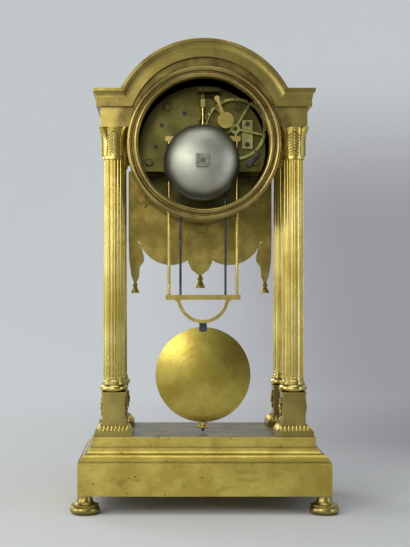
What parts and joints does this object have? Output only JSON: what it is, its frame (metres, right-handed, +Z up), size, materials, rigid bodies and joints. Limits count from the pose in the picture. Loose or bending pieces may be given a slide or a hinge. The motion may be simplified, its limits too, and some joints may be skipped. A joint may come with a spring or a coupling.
{
  "type": "portico clock",
  "caption": "Free-standing gilt portico clock: stepped plinth on turned feet, fluted columns, arched entablature with a striking drum movement, and a gridiron pendulum.",
  "frame": {"origin": "on the table, under the centre of the plinth", "axes": "+Z up, dial towards -Y, movement's back towards +Y"},
  "size_m": [0.2602, 0.1672, 0.4612],
  "materials": {
    "gilt_bronze": "aged mercury gilding on cast bronze",
    "clock_brass": "dull clock brass",
    "dark_steel": "dark, lightly blued steel",
    "bell_metal": "silvered bell metal, dull",
    "enamel": "white enamel on copper",
    "glass": "domed clear glass"
  },
  "bodies": {
    "case": {"foot_front_left": "gilt_bronze", "foot_front_right": "gilt_bronze", "foot_rear_left": "gilt_bronze", "foot_rear_right": "gilt_bronze", "pedestal_front_left": "gilt_bronze", "pedestal_front_right": "gilt_bronze", "pedestal_rear_left": "gilt_bronze", "pedestal_rear_right": "gilt_bronze", "column_front_left": "gilt_bronze", "column_front_right": "gilt_bronze", "column_rear_left": "gilt_bronze", "column_rear_right": "gilt_bronze", "capital_front_left": "gilt_bronze", "capital_front_right": "gilt_bronze", "capital_rear_left": "gilt_bronze", "capital_rear_right": "gilt_bronze", "plinth_block": "gilt_bronze", "plinth_cap": "gilt_bronze", "pedestal_mounts": "gilt_bronze", "tie_rods": "dark_steel", "frieze": "gilt_bronze", "cornice": "gilt_bronze", "drum": "gilt_bronze", "rear_ring": "gilt_bronze", "drapery": "gilt_bronze", "drapery_screws": "dark_steel", "bezel_hinge_pin": "clock_brass", "dial_plate": "clock_brass", "dial": "enamel", "front_plate": "clock_brass", "back_plate": "clock_brass", "pillars": "clock_brass", "suspension_cock": "clock_brass", "strike_cock": "clock_brass", "bell_stand": "clock_brass", "bell": "bell_metal", "bell_nut": "dark_steel"},
    "bezel": {"bezel": "gilt_bronze", "bezel_glass": "glass"},
    "minute_train": {"center_arbor": "clock_brass", "minute_hand": "dark_steel", "hand_nut": "clock_brass"},
    "minute_wheel": {"minute_wheel": "clock_brass"},
    "hour_train": {"hour_wheel": "clock_brass", "hour_hand": "dark_steel"},
    "going_barrel": {"going_barrel": "clock_brass"},
    "strike_barrel": {"strike_barrel": "clock_brass"},
    "escape_wheel": {"escape_wheel": "clock_brass"},
    "anchor": {"anchor": "clock_brass"},
    "pendulum": {"suspension_spring": "dark_steel", "pendulum_hanger": "clock_brass", "outer_rods": "gilt_bronze", "inner_rods": "dark_steel", "pendulum_bow": "gilt_bronze", "bob_rod": "dark_steel", "bob": "gilt_bronze"},
    "rating_nut": {"rating_nut": "gilt_bronze"},
    "count_wheel": {"count_wheel": "clock_brass"},
    "count_detent": {"count_detent": "dark_steel"},
    "hammer": {"hammer": "clock_brass"}
  },
  "joints": [
    {"name": "bezel_hinge", "type": "hinge", "parent": "case", "child": "bezel", "pos_m": [0.0785, -0.0599, 0.3592], "axis": [0, 0, 1], "range_deg": [0, 110]},
    {"name": "minute_spin", "type": "hinge", "parent": "case", "child": "minute_train", "pos_m": [0, -0.0581, 0.3592], "axis": [0, 1, 0], "continuous": true},
    {"name": "minute_wheel_spin", "type": "hinge", "parent": "case", "child": "minute_wheel", "pos_m": [0, -0.0317, 0.3717], "axis": [0, 1, 0], "continuous": true},
    {"name": "hour_spin", "type": "hinge", "parent": "case", "child": "hour_train", "pos_m": [0, -0.0559, 0.3592], "axis": [0, 1, 0], "continuous": true},
    {"name": "going_barrel_spin", "type": "hinge", "parent": "case", "child": "going_barrel", "pos_m": [0.027, -0.02, 0.3532], "axis": [0, 1, 0], "continuous": true},
    {"name": "strike_barrel_spin", "type": "hinge", "parent": "case", "child": "strike_barrel", "pos_m": [-0.027, -0.02, 0.3532], "axis": [0, 1, 0], "continuous": true},
    {"name": "escape_spin", "type": "hinge", "parent": "case", "child": "escape_wheel", "pos_m": [0, -0.0072, 0.3877], "axis": [0, 1, 0], "continuous": true},
    {"name": "pendulum_swing", "type": "hinge", "parent": "case", "child": "pendulum", "pos_m": [0, 0.03, 0.4117], "axis": [0, 1, 0], "range_deg": [-4, 4]},
    {"name": "anchor_rock", "type": "hinge", "parent": "case", "child": "anchor", "pos_m": [0, -0.0072, 0.4117], "axis": [0, 1, 0], "range_deg": [-4, 4]},
    {"name": "rating_nut_spin", "type": "hinge", "parent": "pendulum", "child": "rating_nut", "pos_m": [0, 0.03, 0.0814], "axis": [0, 0, 1], "continuous": true},
    {"name": "count_wheel_spin", "type": "hinge", "parent": "case", "child": "count_wheel", "pos_m": [-0.03299, 0.0198, 0.37871], "axis": [0, 1, 0], "continuous": true},
    {"name": "count_detent_lift", "type": "hinge", "parent": "case", "child": "count_detent", "pos_m": [-0.04699, 0.0198, 0.34321], "axis": [0, -1, 0], "range_deg": [0, 10]},
    {"name": "hammer_lift", "type": "hinge", "parent": "case", "child": "hammer", "pos_m": [-0.0135, 0.04, 0.4062], "axis": [0, 1, 0], "range_deg": [0, 12]}
  ],
  "couplings": [
    {"joint": "minute_wheel_spin", "follows": "minute_spin", "ratio": -0.33333},
    {"joint": "hour_spin", "follows": "minute_spin", "ratio": 0.083333},
    {"joint": "anchor_rock", "follows": "pendulum_swing", "ratio": 1}
  ]
}
